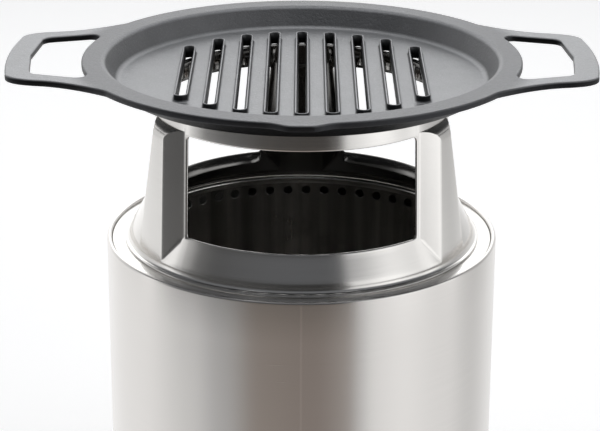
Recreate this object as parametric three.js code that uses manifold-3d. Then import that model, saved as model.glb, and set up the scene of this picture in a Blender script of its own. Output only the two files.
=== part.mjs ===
// Double-walled camping stove: a round steel fire body, a lift-out flame ring, a three-legged hub
// that stands on the ring, and a cast grill top that rests on the hub.
// Millimetres, +Z up. The origin is the centre of the base, the front is -Y, the grips lie along X.
import * as THREE from 'three';
import { mergeVertices } from 'three/addons/utils/BufferGeometryUtils.js';
import Module from 'manifold-3d';

const wasm = await Module();
wasm.setup();

// ---- Driving dimensions ----
const seatGap = 0.3;            // left between two pieces that touch
const slipGap = 0.8;            // radial play of a piece that drops into another
const roundSteps = 40;          // facets around every large round piece
const holeSteps = 6;            // facets around a punched hole

const bodyDiameter = 381;
const bodyHeight = 318;
const bodySheet = 1.2;
const wallGap = 16.6;           // air space between the two walls
const beadRadius = 2.25;        // rolled top edge of the outer wall
const ringRecess = 5;           // depth of the shelf that carries the flame ring
const shelfWidth = 11;
const hemWidth = 14;            // flat foot turned in at the bottom of the outer wall
const intakeHoleDiameter = 12;
const intakeHoleCount = 24;
const intakeHoleHeight = 28;

const wallRimBend = 2.4;        // bend at the top of the inner wall
const wallFlangeWidth = 10;
const jetHoleDiameter = 9.4;    // ring of hot-air holes near the top of the inner wall
const jetHoleCount = 56;
const jetHoleDrop = 19;         // below the top of the body
const jetHolePhase = 0.75;      // place of the first hole, in hole spacings from +X
const draftHoleDiameter = 12;   // ring of holes under the fire grate
const draftHoleCount = 24;
const draftHoleDrop = 13;       // below the ledge's skirt
const floorRimHeight = 10;

const ledgeHeight = 75;         // top of the ledge that carries the fire grate
const ledgeWidth = 20;
const ledgeSkirt = 14;
const ledgeLip = 5;

const ringSheet = 2;
const ringWidth = 20;
const ringLip = 6.3;

const grateSheet = 2;
const grateOverlap = 10;        // how far the grate reaches over the ledge
const grateRim = 5;
const grateHoleDiameter = 12;
const grateHoleStart = 88;      // radius of the innermost ring of holes, clear of the handle
const grateRingPitch = 26;
const grateHolePitch = 40;      // along each ring
const grateHoleMargin = 10;     // between the outermost holes and the rim

const panSheet = 1.2;
const panWallHeight = 34;
const panFlare = 6;
const panPlay = 4;              // radial play of the ash pan inside the ledge

const bailWire = 5;
const bailWidth = 92;
const bailReach = 44;
const bailBend = 16;
const bailTurn = 6;             // bend of each end that turns out into its clip
const bailTip = 2;              // how far each end shows beyond its clip
const bailPlay = 0.5;
const clipSheet = 1.2;
const clipWidth = 8;
const clipFoot = 10;
const rivetShank = 2.4;
const rivetHead = 5.4;
const rivetHeadHeight = 1.2;
const rivetPlay = 0.3;

const hubSheet = 1.5;
const hubSeatInset = 12;        // from the rim of the flame ring to the hub's foot
const hubFootWidth = 5.7;
const hubFootBend = 5;
const hubHeight = 153;
const hubTaper = 0.1;           // inward lean of the legs, per millimetre of height
const hubTopWidth = 6;          // flat top of the crown, which carries the grill
const crownBend = 3;            // radius at the top of the crown
const legTopDrop = 20;          // from the hub's top to where the legs have curved in to the crown
const legTopBend = 11;
const sillHeight = 9;           // where the slope of each sill starts, above the hub's foot
const lintelDrop = 23;          // from the hub's top to each window's upper edge
const bevelRise = 25;           // height of that slope
const bevelSide = 20;           // width of the slope along each leg
const bevelDepth = 10.6;        // radial depth of both slopes
const foldSoft = 0.08;          // share of a slope that is rounded on each side of a fold
const legFootHalfWidth = 24.6;  // half width of a leg's outer face at the hub's foot
const legTaper = 0.112;
const windowCorner = 4;
const hemStrip = 4.5;           // flat strip between that slope and the window
const sillFlangeIn = 13.5;      // the sill's return flange slopes down and in
const sillFlangeDown = 7.2;

const grillOverhang = 71.9;     // from the hub's crown, out to the edge of the rim
const rimWidth = 27.5;
const rimThickness = 5.5;
const basinDepth = 21;
const castWall = 5;
const basinFillet = 7;
const basinOuterFillet = 16;
const basinSlope = 6;           // how far the basin's wall leans in over its height
const slotPitch = 28;
const slotWidth = 9.6;
const slotMargin = 31.5;        // from the slots' ends to the edge of the flat floor
const collarWall = 1.8;
const collarHeight = 5.5;
const gripLength = 67.5;        // how far each grip reaches past the rim
const gripThickness = 7;
const gripHalfWidth = 86;
const gripBar = 22;
const gripStrap = 21;
const gripCorner = 24;
const gripInnerCorner = 9;      // of the finger hole, next to the rim
const gripSpread = 10;          // how much wider the finger hole is there
const gripLand = 3.5;           // how far it cuts into the rim
const gripBow = 5;              // how far the grip's end bows out
const gripFlare = 33;           // how much each flank spreads where it meets the rim
const tabWidth = 34;
const tabReach = 8;
const lugHeight = 4;
const lugAngle = 55.5;          // of each locating lug, away from the front and the back
const lugSize = [5, 8];

// ---- Fits worked out from the dimensions above ----
const bodyRadius = bodyDiameter / 2;
const chamberRadius = bodyRadius - 2 * bodySheet - wallGap;
const recessRadius = bodyRadius - 2 * beadRadius;
const shelfTop = bodyHeight - ringRecess;
const wallRimTop = shelfTop - bodySheet - seatGap;
const floorTop = 2 * bodySheet + seatGap;
const ringRadius = recessRadius - slipGap;
const ringBase = shelfTop + seatGap;
const ringTop = ringBase + ringSheet;
const ledgeInner = chamberRadius - seatGap - ledgeWidth;
const grateRadius = ledgeInner + grateOverlap;
const grateBase = ledgeHeight + seatGap;
const panRadius = ledgeInner - panPlay;
const panBase = floorTop + seatGap;
const hubBase = ringTop + seatGap;
const hubTop = hubBase + hubHeight;
const legTopHeight = hubHeight - legTopDrop;
const lintelHeight = hubHeight - lintelDrop;
const hubFootRadius = ringRadius - hubSeatInset;
const coneRadius = hubFootRadius - hubFootWidth;
const grillBase = hubTop + seatGap;
const grillTop = grillBase + castWall + basinDepth;
const grillRadius = coneRadius - hubTaper * hubHeight - bevelDepth + grillOverhang;
const basinFloorRadius = grillRadius - rimWidth - basinSlope - basinFillet;
const slotField = basinFloorRadius - slotMargin;   // the slots' ends lie on this circle
const slotsEachSide = Math.floor((slotField - slotPitch / 2) / slotPitch);
const gripReach = grillRadius + gripLength;
const gripRootAngle = Math.asin((gripHalfWidth + gripFlare) / grillRadius);
const draftHoleHeight = ledgeHeight - ledgeSkirt - draftHoleDrop;

// ---- Shape helpers ----
const point = (x, y) => new THREE.Vector2(x, y);

// Points along an arc, angles in degrees.
function arc(x, y, radius, from, to, steps) {
  return Array.from({ length: steps + 1 }, (_, i) => {
    const angle = THREE.MathUtils.degToRad(from + (to - from) * i / steps);
    return point(x + radius * Math.cos(angle), y + radius * Math.sin(angle));
  });
}

// Joins shared corners, drops slivers of no area and turns the faces outwards.
function closed(geometry) {
  geometry.deleteAttribute('normal');
  geometry.deleteAttribute('uv');
  const merged = mergeVertices(geometry, 1e-4);
  const corners = merged.index.array;
  const at = i => new THREE.Vector3().fromBufferAttribute(merged.attributes.position, i);
  const kept = [];
  let volume = 0;
  for (let i = 0; i < corners.length; i += 3) {
    const [a, b, c] = corners.slice(i, i + 3);
    if (a === b || b === c || c === a) continue;
    kept.push([a, b, c]);
    volume += at(a).dot(at(b).cross(at(c)));
  }
  merged.setIndex(kept.flatMap(([a, b, c]) => (volume > 0 ? [a, b, c] : [a, c, b])));
  return merged;
}

// A solid of revolution. The outline closes on itself, or runs from the axis to the axis.
function revolve(outline, steps = roundSteps) {
  const onAxis = outline[0].x === 0;
  const points = onAxis ? outline : [...outline, outline[0]];
  return closed(new THREE.LatheGeometry(points, steps).rotateX(Math.PI / 2));
}

// A flat shape raised from one level to another.
function plate(shape, low, high, curveSteps = 6) {
  const options = { depth: high - low, bevelEnabled: false, curveSegments: curveSteps };
  return closed(new THREE.ExtrudeGeometry(shape, options).translate(0, 0, low));
}

function toSolid(geometry) {
  return new wasm.Manifold(new wasm.Mesh({
    numProp: 3,
    vertProperties: Float32Array.from(geometry.attributes.position.array),
    triVerts: Uint32Array.from(geometry.index.array),
  }));
}

function toGeometry(solid) {
  const mesh = solid.getMesh();
  const geometry = new THREE.BufferGeometry();
  geometry.setAttribute('position', new THREE.BufferAttribute(mesh.vertProperties, 3));
  geometry.setIndex(new THREE.BufferAttribute(mesh.triVerts, 1));
  return geometry;
}

function combine(base, { add = [], cut = [] }) {
  let solid = toSolid(base);
  for (const piece of add) solid = solid.add(toSolid(piece));
  for (const piece of cut) solid = solid.subtract(toSolid(piece));
  return toGeometry(solid);
}

// A ring of radial drills through a wall of this radius. `phase` places the first one.
function radialDrills(radius, diameter, count, height, phase = 0.5) {
  const reach = 4 * bodySheet;
  return Array.from({ length: count }, (_, i) => {
    const drill = new THREE.CylinderGeometry(diameter / 2, diameter / 2, reach, holeSteps);
    drill.rotateZ(Math.PI / 2).translate(radius, 0, height);
    return closed(drill.rotateZ(2 * Math.PI * (i + phase) / count));
  });
}

function verticalDrill(x, y, low, high, diameter) {
  const drill = new THREE.CylinderGeometry(diameter / 2, diameter / 2, high - low, holeSteps);
  return closed(drill.rotateX(Math.PI / 2).translate(x, y, (low + high) / 2));
}

// ---- The body ----
function outerWall() {
  const beadHeight = bodyHeight - beadRadius;
  const beadCentre = bodyRadius - beadRadius;
  const shelfInner = recessRadius - shelfWidth;
  const shelfUnder = shelfTop - bodySheet;
  const tube = revolve([
    point(bodyRadius - hemWidth, 0),
    point(bodyRadius, 0),
    ...arc(beadCentre, beadHeight, beadRadius, 0, 180, 4),
    point(recessRadius, shelfTop),
    point(shelfInner, shelfTop),
    point(shelfInner, shelfUnder),
    point(recessRadius + bodySheet, shelfUnder),
    ...arc(beadCentre, beadHeight, beadRadius - bodySheet, 180, 0, 2),
    point(bodyRadius - bodySheet, bodySheet),
    point(bodyRadius - hemWidth, bodySheet),
  ]);
  return combine(tube, {
    cut: radialDrills(bodyRadius, intakeHoleDiameter, intakeHoleCount, intakeHoleHeight),
  });
}

function innerWall() {
  const inner = chamberRadius;
  const outer = chamberRadius + bodySheet;
  const foot = floorTop + seatGap;
  const bendHeight = wallRimTop - wallRimBend;
  const bendCentre = inner + wallRimBend;
  const tube = revolve([
    point(inner, foot),
    ...arc(bendCentre, bendHeight, wallRimBend, 180, 90, 2),
    point(bendCentre + wallFlangeWidth, wallRimTop),
    point(bendCentre + wallFlangeWidth, wallRimTop - bodySheet),
    ...arc(bendCentre, bendHeight, wallRimBend - bodySheet, 90, 180, 1),
    point(outer, foot + bodySheet),
    point(outer + wallFlangeWidth, foot + bodySheet),
    point(outer + wallFlangeWidth, foot),
  ]);
  return combine(tube, {
    cut: [
      ...radialDrills(chamberRadius, jetHoleDiameter, jetHoleCount, bodyHeight - jetHoleDrop, jetHolePhase),
      ...radialDrills(chamberRadius, draftHoleDiameter, draftHoleCount, draftHoleHeight),
    ],
  });
}

function floorPan() {
  const base = bodySheet + seatGap;
  const rim = bodyRadius - bodySheet - slipGap;
  return revolve([
    point(0, base),
    point(rim, base),
    point(rim, base + floorRimHeight),
    point(rim - bodySheet, base + floorRimHeight),
    point(rim - bodySheet, floorTop),
    point(0, floorTop),
  ]);
}

function grateLedge() {
  const outer = chamberRadius - seatGap;
  return revolve([
    point(ledgeInner, ledgeHeight - ledgeLip),
    point(ledgeInner + bodySheet, ledgeHeight - ledgeLip),
    point(ledgeInner + bodySheet, ledgeHeight - bodySheet),
    point(outer - bodySheet, ledgeHeight - bodySheet),
    point(outer - bodySheet, ledgeHeight - ledgeSkirt),
    point(outer, ledgeHeight - ledgeSkirt),
    point(outer, ledgeHeight),
    point(ledgeInner, ledgeHeight),
  ]);
}

function flameRing() {
  const inner = ringRadius - ringWidth;
  const lipBottom = ringTop - ringLip;
  return revolve([
    point(inner, lipBottom),
    point(inner + ringSheet, lipBottom),
    point(inner + ringSheet, ringBase),
    point(ringRadius, ringBase),
    point(ringRadius, ringTop),
    ...arc(inner + ringSheet, ringTop - ringSheet, ringSheet, 90, 180, 2),
  ]);
}

// ---- Fold-flat wire handle with its two riveted clips ----
// Each one lies on a round plate whose upper face is at `level`.
const bailAxisAbove = clipSheet / 2 + bailWire / 2 + bailPlay;
const clipX = bailWidth / 2 + bailTurn + seatGap + clipWidth / 2;
const clipBore = bailWire / 2 + bailPlay;
const rivetY = clipBore + clipSheet + clipFoot / 2;
const rivetPlaces = [-1, 1].flatMap(side => [-1, 1].map(end => [side * clipX, end * rivetY]));

function bail(level) {
  const z = level + bailAxisAbove;
  const half = bailWidth / 2;
  const tip = clipX + clipWidth / 2 + bailTip;
  const path = new THREE.CurvePath();
  const at = (x, y) => new THREE.Vector3(x, y, z);
  const bend = (from, corner, to) => path.add(new THREE.QuadraticBezierCurve3(from, corner, to));
  const line = (from, to) => path.add(new THREE.LineCurve3(from, to));
  line(at(-tip, 0), at(-half - bailTurn, 0));
  bend(at(-half - bailTurn, 0), at(-half, 0), at(-half, bailTurn));
  line(at(-half, bailTurn), at(-half, bailReach - bailBend));
  bend(at(-half, bailReach - bailBend), at(-half, bailReach), at(-half + bailBend, bailReach));
  line(at(-half + bailBend, bailReach), at(half - bailBend, bailReach));
  bend(at(half - bailBend, bailReach), at(half, bailReach), at(half, bailReach - bailBend));
  line(at(half, bailReach - bailBend), at(half, bailTurn));
  bend(at(half, bailTurn), at(half, 0), at(half + bailTurn, 0));
  line(at(half + bailTurn, 0), at(tip, 0));
  const section = new THREE.Shape().absarc(0, 0, bailWire / 2, 0, 2 * Math.PI, false);
  const options = { steps: 30, curveSegments: 3, bevelEnabled: false, extrudePath: path };
  return closed(new THREE.ExtrudeGeometry(section, options));
}

function clip(level, side) {
  const foot = clipBore + clipSheet + clipFoot;
  const base = level + seatGap;
  const centre = level + bailAxisAbove;
  const top = clipBore + clipSheet;
  // The strap's outline, seen along the pivot.
  const shape = new THREE.Shape([
    point(-foot, base),
    point(-clipBore, base),
    ...arc(0, centre, clipBore, 180, 0, 6),
    point(clipBore, base),
    point(foot, base),
    point(foot, base + clipSheet),
    point(top, base + clipSheet),
    ...arc(0, centre, top, 0, 180, 6),
    point(-top, base + clipSheet),
    point(-foot, base + clipSheet),
  ]);
  const strap = new THREE.ExtrudeGeometry(shape, { depth: clipWidth, bevelEnabled: false });
  strap.translate(0, 0, -clipWidth / 2).rotateX(Math.PI / 2).rotateZ(Math.PI / 2);
  const solid = closed(strap.translate(side * clipX, 0, 0));
  return combine(solid, {
    cut: [-1, 1].map(end => verticalDrill(
      side * clipX, end * rivetY, base - clipSheet, base + 2 * clipSheet, rivetShank + 2 * rivetPlay)),
  });
}

function rivet(level, sheet, [x, y]) {
  const top = level + seatGap + clipSheet + seatGap;
  const bottom = level - sheet - seatGap;
  const head = rivetHead / 2;
  const shank = rivetShank / 2;
  const tail = head - rivetHeadHeight / 2;
  return revolve([
    point(0, bottom - rivetHeadHeight / 2),
    point(tail, bottom - rivetHeadHeight / 2),
    point(tail, bottom),
    point(shank, bottom),
    point(shank, top),
    point(head, top),
    point(head * 0.7, top + rivetHeadHeight * 0.8),
    point(0, top + rivetHeadHeight),
  ], holeSteps).translate(x, y, 0);
}

function rivetDrills(level, sheet) {
  return rivetPlaces.map(([x, y]) => verticalDrill(
    x, y, level - 2 * sheet, level + sheet, rivetShank + 2 * rivetPlay));
}

// ---- What lifts out of the fire chamber ----
function fireGrate() {
  const top = grateBase + grateSheet;
  const disc = revolve([
    point(0, grateBase),
    point(grateRadius, grateBase),
    point(grateRadius, top + grateRim),
    point(grateRadius - grateSheet, top + grateRim),
    point(grateRadius - grateSheet, top),
    point(0, top),
  ]);
  const holes = [];
  const lastRing = grateRadius - grateSheet - grateHoleMargin - grateHoleDiameter / 2;
  for (let radius = grateHoleStart; radius <= lastRing; radius += grateRingPitch) {
    const count = Math.round(2 * Math.PI * radius / grateHolePitch);
    for (let i = 0; i < count; i += 1) {
      const angle = 2 * Math.PI * (i + 0.5) / count;
      const [x, y] = [radius * Math.cos(angle), radius * Math.sin(angle)];
      holes.push(verticalDrill(x, y, grateBase - grateSheet, top + grateSheet, grateHoleDiameter));
    }
  }
  return combine(disc, { cut: [...holes, ...rivetDrills(top, grateSheet)] });
}

const panFootHeight = rivetHeadHeight + seatGap;   // the floor of the pan stands clear of its rivets
function ashPan() {
  const rim = panRadius;
  const low = panRadius - panFlare;
  const floor = panBase + panFootHeight;
  const dish = revolve([
    point(0, floor),
    point(low - 2 * panFlare, floor),
    point(low - 2 * panFlare + panSheet, panBase),
    point(low, panBase),
    point(rim, panBase + panWallHeight),
    point(rim - panSheet, panBase + panWallHeight),
    point(low - panSheet, panBase + panSheet),
    point(low - 2 * panFlare + 2 * panSheet, panBase + panSheet),
    point(low - 2 * panFlare + panSheet, floor + panSheet),
    point(0, floor + panSheet),
  ]);
  return combine(dish, { cut: rivetDrills(floor + panSheet, panSheet) });
}

// ---- The hub ----
// Its skin is a grid in thirds. A column keeps its distance from the edge of a leg and a row keeps its
// height. The sink of a place is 0 on the legs' outer face and 1 on the windows' inner face.
const coneAt = height => coneRadius - hubTaper * height;
const foldPlaces = [-foldSoft, foldSoft, legTopSink(lintelHeight), 1 - foldSoft, 1 + foldSoft];

// Sink across a slope, from its start at 0 to its end at 1, with both folds rounded.
function slopeSink(share) {
  if (share <= -foldSoft) return 0;
  if (share < foldSoft) return (share + foldSoft) ** 2 / (4 * foldSoft);
  if (share <= 1 - foldSoft) return share;
  if (share < 1 + foldSoft) return 1 - (1 + foldSoft - share) ** 2 / (4 * foldSoft);
  return 1;
}

// Sink of the top of a leg, where it curves in to the crown.
function legTopSink(height) {
  const rise = THREE.MathUtils.clamp((height - legTopHeight) / legTopBend + 1, 0, 1);
  return 1 - Math.sqrt(1 - rise * rise);
}

// Columns from the middle of a leg to the middle of a window.
function hubColumns() {
  const third = Math.PI / 3;
  const column = (share, beyond, slope) => ({
    slope,
    angle: (height, shift = 0) => third - Math.asin((share * (legFootHalfWidth - legTaper * height)
      + beyond + shift) / coneAt(height)),
  });
  const edge = bevelSide + hemStrip;
  const last = column(1, edge + windowCorner, 2);
  return [
    column(0, 0, -1),
    column(0.5, 0, -1),
    ...foldPlaces.map(place => column(1, place * bevelSide, place)),
    column(1, edge, 2),
    last,
    ...[0.75, 0.5, 0.25, 0].map(t => ({ slope: 2, angle: height => t * last.angle(height) })),
  ];
}

// Rows from the rim of the foot to the inner edge of the crown. Only the folded rows sink.
function hubRows() {
  const footLine = hubSheet + hubFootBend;
  const crownRadius = coneAt(hubHeight) - bevelDepth;
  const foot = arc(coneAt(footLine) + hubFootBend, footLine, hubFootBend, 270, 180, 3);
  const crown = arc(crownRadius - crownBend, hubHeight - crownBend, crownBend, 0, 90, 3);
  const sill = [-foldSoft, foldSoft, 1 - foldSoft, 1].map(place => sillHeight + place * bevelRise);
  const window = [sill.at(-1) + windowCorner, 0.35 * hubHeight, 0.55 * hubHeight, 0.72 * hubHeight];
  const legTop = foldPlaces.map(place => legTopHeight - legTopBend
    + legTopBend * Math.sqrt(1 - (1 - slopeSink(place)) ** 2));
  return {
    foot: [[hubFootRadius, hubSheet], ...foot.map(p => [p.x, p.y])],
    folded: [...sill, ...window, lintelHeight - windowCorner, ...legTop].sort((a, b) => a - b),
    crown: [...crown.map(p => [p.x, p.y]), [crownRadius - crownBend - hubTopWidth, hubHeight]],
    lip: sill.at(-1),
  };
}

function hubShell() {
  const { foot, folded, crown, lip } = hubRows();
  const half = hubColumns();
  const edgeColumn = half.findIndex(column => column.slope === 2);
  const mirrored = half.slice(0, -1).reverse();
  const columnCount = half.length + mirrored.length;
  const cut = windowCorner * (1 - Math.SQRT1_2);
  const isLintel = height => Math.abs(height - lintelHeight) < 1e-6;
  const vertices = [];
  const faces = [];

  const add = (angle, radius, height, turn) => {
    const a = angle + turn;
    vertices.push(radius * Math.sin(a), -radius * Math.cos(a), hubBase + height);
    return vertices.length / 3 - 1;
  };
  const across = makePlace => [
    ...half.map((column, i) => makePlace(column, i, -1)),
    ...mirrored.map((column, i) => makePlace(column, half.length - 2 - i, 1)),
  ];
  const plainRow = ([radius, height], turn) => across((column, i, side) => (
    add(side * column.angle(height), radius, height, turn)));
  const foldedRow = (height, turn) => across((column, i, side) => {
    const isCorner = i === edgeColumn && (height === lip || isLintel(height));
    const shift = isCorner ? cut : 0;
    const z = height + (height === lip ? shift : -shift);
    const sill = slopeSink((height - sillHeight) / bevelRise);
    const sunk = Math.max(Math.min(slopeSink(column.slope), sill), legTopSink(height));
    return add(side * column.angle(z, shift), coneAt(z) - bevelDepth * sunk, z, turn);
  });
  const cell = (low, high, j) => {
    if (j < columnCount / 2 - 1) {
      faces.push(low[j], low[j + 1], high[j + 1], low[j], high[j + 1], high[j]);
    } else {
      faces.push(low[j], low[j + 1], high[j], low[j + 1], high[j + 1], high[j]);
    }
  };

  for (let third = 0; third < 3; third += 1) {
    const turn = third * 2 * Math.PI / 3;
    const rows = [
      ...foot.map(place => plainRow(place, turn)),
      ...folded.map(height => foldedRow(height, turn)),
      ...crown.map(place => plainRow(place, turn)),
    ];
    const lipRow = foot.length + folded.indexOf(lip);
    const lintelRow = foot.length + folded.findIndex(isLintel);
    for (let i = 0; i < rows.length - 1; i += 1) {
      for (let j = 0; j < columnCount - 1; j += 1) {
        const open = i >= lipRow && i < lintelRow && j >= edgeColumn && j < columnCount - 1 - edgeColumn;
        if (!open) cell(rows[i], rows[i + 1], j);
      }
    }
    const reach = column => (column === half[edgeColumn] ? 0.15 : 1);
    const flange = across((column, i, side) => add(
      side * column.angle(lip), coneAt(lip) - bevelDepth - sillFlangeIn * reach(column),
      lip - sillFlangeDown * reach(column), turn));
    for (let j = edgeColumn; j < columnCount - 1 - edgeColumn; j += 1) cell(rows[lipRow], flange, j);
  }
  const skin = new THREE.BufferGeometry();
  skin.setAttribute('position', new THREE.Float32BufferAttribute(vertices, 3));
  skin.setIndex(faces);
  return thicken(skin, hubSheet);
}

// Gives an open skin a thickness on its back, and closes it along its free edges.
function thicken(skin, sheet) {
  const front = mergeVertices(skin, 1e-3);
  front.computeVertexNormals();
  const { position, normal } = front.attributes;
  const count = position.count;
  const vertices = [...position.array];
  for (let i = 0; i < count; i += 1) {
    const p = new THREE.Vector3().fromBufferAttribute(position, i);
    const n = new THREE.Vector3().fromBufferAttribute(normal, i);
    vertices.push(...p.addScaledVector(n, -sheet).toArray());
  }
  const corners = front.index.array;
  const faces = [...corners];
  const edges = new Map();
  for (let i = 0; i < corners.length; i += 3) {
    const [a, b, c] = corners.slice(i, i + 3);
    faces.push(a + count, c + count, b + count);
    for (const [from, to] of [[a, b], [b, c], [c, a]]) {
      if (!edges.delete(`${to},${from}`)) edges.set(`${from},${to}`, [from, to]);
    }
  }
  for (const [from, to] of edges.values()) {
    faces.push(from, from + count, to + count, from, to + count, to);
  }
  const shell = new THREE.BufferGeometry();
  shell.setAttribute('position', new THREE.Float32BufferAttribute(vertices, 3));
  shell.setIndex(faces);
  return closed(shell);
}

// ---- The grill top, one casting ----
function stadium(x, halfLength, width) {
  const radius = width / 2;
  const straight = halfLength - radius;
  return new THREE.Shape([
    ...arc(x, straight, radius, 0, 180, 4),
    ...arc(x, -straight, radius, 180, 360, 4),
  ]);
}

// The right-hand grip seen from above, with its finger hole.
function grip() {
  const inside = grillRadius - rimWidth / 2;
  const [cos, sin] = [Math.cos(gripRootAngle), Math.sin(gripRootAngle)];
  const end = gripReach - gripBow;
  const flankEnd = gripReach - 1.6 * gripCorner;
  const endHalf = gripHalfWidth - gripCorner;
  const shape = new THREE.Shape();
  shape.moveTo(inside * cos, -inside * sin);
  shape.lineTo(grillRadius * cos, -grillRadius * sin);
  shape.quadraticCurveTo(grillRadius, -gripHalfWidth - gripBow, flankEnd, -gripHalfWidth);
  shape.quadraticCurveTo(end, -gripHalfWidth + gripBow, end, -endHalf);
  shape.quadraticCurveTo(gripReach + gripBow, 0, end, endHalf);
  shape.quadraticCurveTo(end, gripHalfWidth - gripBow, flankEnd, gripHalfWidth);
  shape.quadraticCurveTo(grillRadius, gripHalfWidth + gripBow, grillRadius * cos, grillRadius * sin);
  shape.lineTo(inside * cos, inside * sin);

  const outer = end - gripBar;
  const half = gripHalfWidth - gripStrap;
  const corner = gripCorner / 2;
  const land = grillRadius - gripLand;
  const innerY = half + gripSpread - gripInnerCorner;
  const innerX = Math.sqrt((land + gripInnerCorner) ** 2 - innerY ** 2);
  const innerAngle = THREE.MathUtils.radToDeg(Math.atan2(innerY, innerX));
  const upper = [
    point(outer + gripBow, 0),
    ...arc(outer - corner, half - corner, corner, 8, 78, 3),
    ...arc(innerX, innerY, gripInnerCorner, 78, 180 + innerAngle, 4),
    ...arc(0, 0, land, innerAngle, 0, 4).slice(1),
  ];
  const lower = upper.slice(1, -1).reverse().map(p => point(p.x, -p.y));
  shape.holes.push(new THREE.Path([...upper, ...lower]));
  return shape;
}

function tab() {
  const half = tabWidth / 2;
  const edge = -grillRadius;
  const shape = new THREE.Shape();
  shape.moveTo(-2 * half, edge + rimWidth / 2);
  shape.lineTo(-2 * half, edge + 5);
  shape.bezierCurveTo(-half, edge + 2, -half, edge - tabReach, -half / 2, edge - tabReach);
  shape.lineTo(half / 2, edge - tabReach);
  shape.bezierCurveTo(half, edge - tabReach, half, edge + 2, 2 * half, edge + 5);
  shape.lineTo(2 * half, edge + rimWidth / 2);
  return shape;
}

function grillCasting() {
  const floorTopLevel = grillBase + castWall;
  const rimInner = grillRadius - rimWidth;
  const wallFoot = rimInner - basinSlope;
  const rimUnder = grillTop - rimThickness;
  const bowl = revolve([
    point(0, grillBase),
    ...arc(
      wallFoot + castWall - basinOuterFillet, grillBase + basinOuterFillet, basinOuterFillet, -90, -20, 3),
    point(rimInner + castWall + 1, rimUnder - 3),
    point(rimInner + castWall + 5, rimUnder),
    point(grillRadius, rimUnder),
    point(grillRadius, grillTop),
    point(0, grillTop),
  ]);
  const basin = revolve([
    point(0, floorTopLevel),
    ...arc(wallFoot - basinFillet, floorTopLevel + basinFillet, basinFillet, -90, -20, 3),
    point(rimInner, grillTop),
    point(rimInner, grillTop + castWall),
    point(0, grillTop + castWall),
  ]);
  const places = Array.from({ length: 2 * slotsEachSide + 1 }, (_, i) => (i - slotsEachSide) * slotPitch);
  const reach = x => Math.sqrt(slotField ** 2 - x ** 2);
  const collar = x => plate(stadium(x, reach(x), slotWidth + 2 * collarWall), floorTopLevel - 1,
    floorTopLevel + collarHeight);
  const slot = x => plate(stadium(x, reach(x) - collarWall, slotWidth), grillBase - castWall,
    floorTopLevel + 2 * collarHeight);
  const lugRadius = coneAt(hubHeight - lugHeight) - bevelDepth + seatGap + slipGap + lugSize[0] / 2;
  const lugs = [-1, 1].flatMap(side => [-1, 1].map(end => {
    const lug = new THREE.BoxGeometry(lugSize[1], lugSize[0], lugHeight + 1);
    lug.translate(0, end * lugRadius, grillBase - lugHeight / 2 + 0.5);
    return closed(lug.rotateZ(-side * end * THREE.MathUtils.degToRad(lugAngle)));
  }));
  const grips = [0, Math.PI].map(turn => plate(grip(), grillTop - gripThickness, grillTop).rotateZ(turn));
  const rim = combine(bowl, { add: [...grips, plate(tab(), rimUnder, grillTop)], cut: [basin] });
  return combine(rim, { add: [...places.map(collar), ...lugs], cut: places.map(slot) });
}

// ---- Finishes ----
const finish = (color, roughness, metalness) =>
  () => new THREE.MeshStandardMaterial({ color, roughness, metalness });
const brushedSteel = finish(0xb9b6b2, 0.32, 1);
const satinSteel = finish(0xc6c3be, 0.28, 1);
const darkSteel = finish(0x5d5b5a, 0.35, 1);
const castIron = finish(0x4b4d53, 0.6, 0.3);
const wireSteel = finish(0xa8a6a3, 0.3, 1);

// ---- Assembly ----
const grateTop = grateBase + grateSheet;
const panFloorTop = panBase + panFootHeight + panSheet;
const stove = new THREE.Group();
stove.name = 'camping_stove';

function piece(name, geometry, material) {
  const mesh = new THREE.Mesh(geometry, material());
  mesh.name = name;
  stove.add(mesh);
}

function handleSet(prefix, level, sheet) {
  piece(`${prefix}_handle`, bail(level), wireSteel);
  piece(`${prefix}_clip_left`, clip(level, -1), satinSteel);
  piece(`${prefix}_clip_right`, clip(level, 1), satinSteel);
  rivetPlaces.forEach((spot, i) => piece(`${prefix}_rivet_${i + 1}`, rivet(level, sheet, spot), wireSteel));
}

piece('outer_wall', outerWall(), brushedSteel);
piece('inner_wall', innerWall(), darkSteel);
piece('floor_pan', floorPan(), darkSteel);
piece('grate_ledge', grateLedge(), darkSteel);
piece('ash_pan', ashPan(), satinSteel);
handleSet('ash_pan', panFloorTop, panSheet);
piece('fire_grate', fireGrate(), satinSteel);
handleSet('fire_grate', grateTop, grateSheet);
piece('flame_ring', flameRing(), satinSteel);
piece('hub_shell', hubShell(), satinSteel);
piece('grill_top', grillCasting(), castIron);

export default stove;
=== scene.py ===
"""Camping stove: a double-walled steel fire body, flame ring, three-legged hub and cast grill top."""
import math

import bmesh
import bpy
from bpy.props import FloatProperty, FloatVectorProperty, IntProperty, PointerProperty
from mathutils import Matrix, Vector
from mathutils.geometry import delaunay_2d_cdt


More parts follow.
